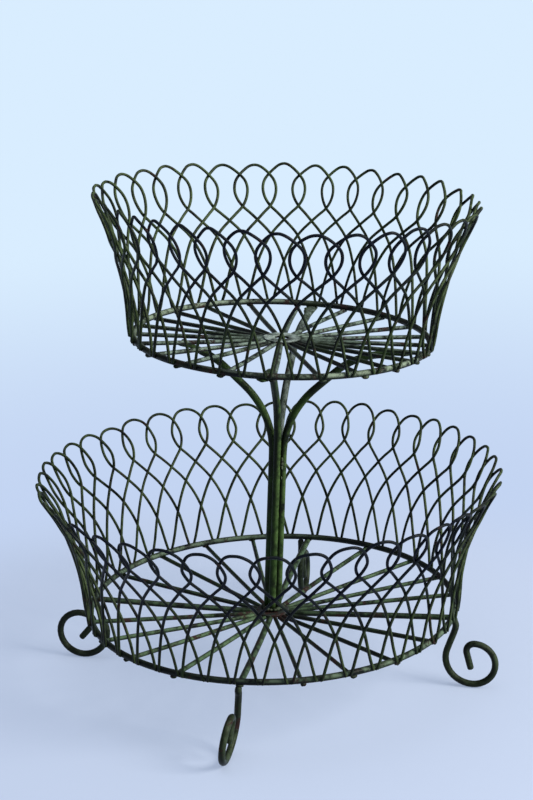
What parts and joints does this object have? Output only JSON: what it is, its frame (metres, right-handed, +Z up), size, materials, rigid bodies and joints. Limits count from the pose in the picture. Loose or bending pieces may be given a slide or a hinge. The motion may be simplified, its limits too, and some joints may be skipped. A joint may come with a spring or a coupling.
{
  "type": "tiered wire basket",
  "caption": "Free-standing wire basket with a wide lower tier on scroll feet and a smaller upper tier on a central column.",
  "frame": {"origin": "middle of the footprint, at the level of the surface it stands on", "axes": "+Z up, -Y towards the viewer of the picture, +X to the right"},
  "size_m": [0.3439, 0.344, 0.376],
  "materials": {
    "loop_paint": "worn brush-painted iron wire",
    "ring_paint": "worn brush-painted iron wire",
    "spoke_paint": "faded brush-painted iron wire",
    "hub_paint": "faded painted plate with some rust",
    "column_paint": "brush-painted iron rod",
    "foot_paint": "worn brush-painted iron wire"
  },
  "bodies": {
    "root": {"column_rod_1": "column_paint", "column_rod_2": "column_paint", "column_rod_3": "column_paint", "column_rod_4": "column_paint", "foot_1": "foot_paint", "foot_2": "foot_paint", "foot_3": "foot_paint", "foot_4": "foot_paint", "lower_hub": "hub_paint", "lower_loops_01": "loop_paint", "lower_loops_02": "loop_paint", "lower_loops_03": "loop_paint", "lower_loops_04": "loop_paint", "lower_loops_05": "loop_paint", "lower_loops_06": "loop_paint", "lower_loops_07": "loop_paint", "lower_loops_08": "loop_paint", "lower_loops_09": "loop_paint", "lower_loops_10": "loop_paint", "lower_loops_11": "loop_paint", "lower_loops_12": "loop_paint", "lower_loops_13": "loop_paint", "lower_loops_14": "loop_paint", "lower_loops_15": "loop_paint", "lower_loops_16": "loop_paint", "lower_loops_17": "loop_paint", "lower_loops_18": "loop_paint", "lower_loops_19": "loop_paint", "lower_loops_20": "loop_paint", "lower_loops_21": "loop_paint", "lower_loops_22": "loop_paint", "lower_ring": "ring_paint", "lower_spokes_back": "spoke_paint", "lower_spokes_front": "spoke_paint", "upper_hub": "hub_paint", "upper_loops_01": "loop_paint", "upper_loops_02": "loop_paint", "upper_loops_03": "loop_paint", "upper_loops_04": "loop_paint", "upper_loops_05": "loop_paint", "upper_loops_06": "loop_paint", "upper_loops_07": "loop_paint", "upper_loops_08": "loop_paint", "upper_loops_09": "loop_paint", "upper_loops_10": "loop_paint", "upper_loops_11": "loop_paint", "upper_loops_12": "loop_paint", "upper_loops_13": "loop_paint", "upper_loops_14": "loop_paint", "upper_loops_15": "loop_paint", "upper_loops_16": "loop_paint", "upper_loops_17": "loop_paint", "upper_loops_18": "loop_paint", "upper_ring": "ring_paint", "upper_spokes_back": "spoke_paint", "upper_spokes_front": "spoke_paint"}
  },
  "joints": []
}
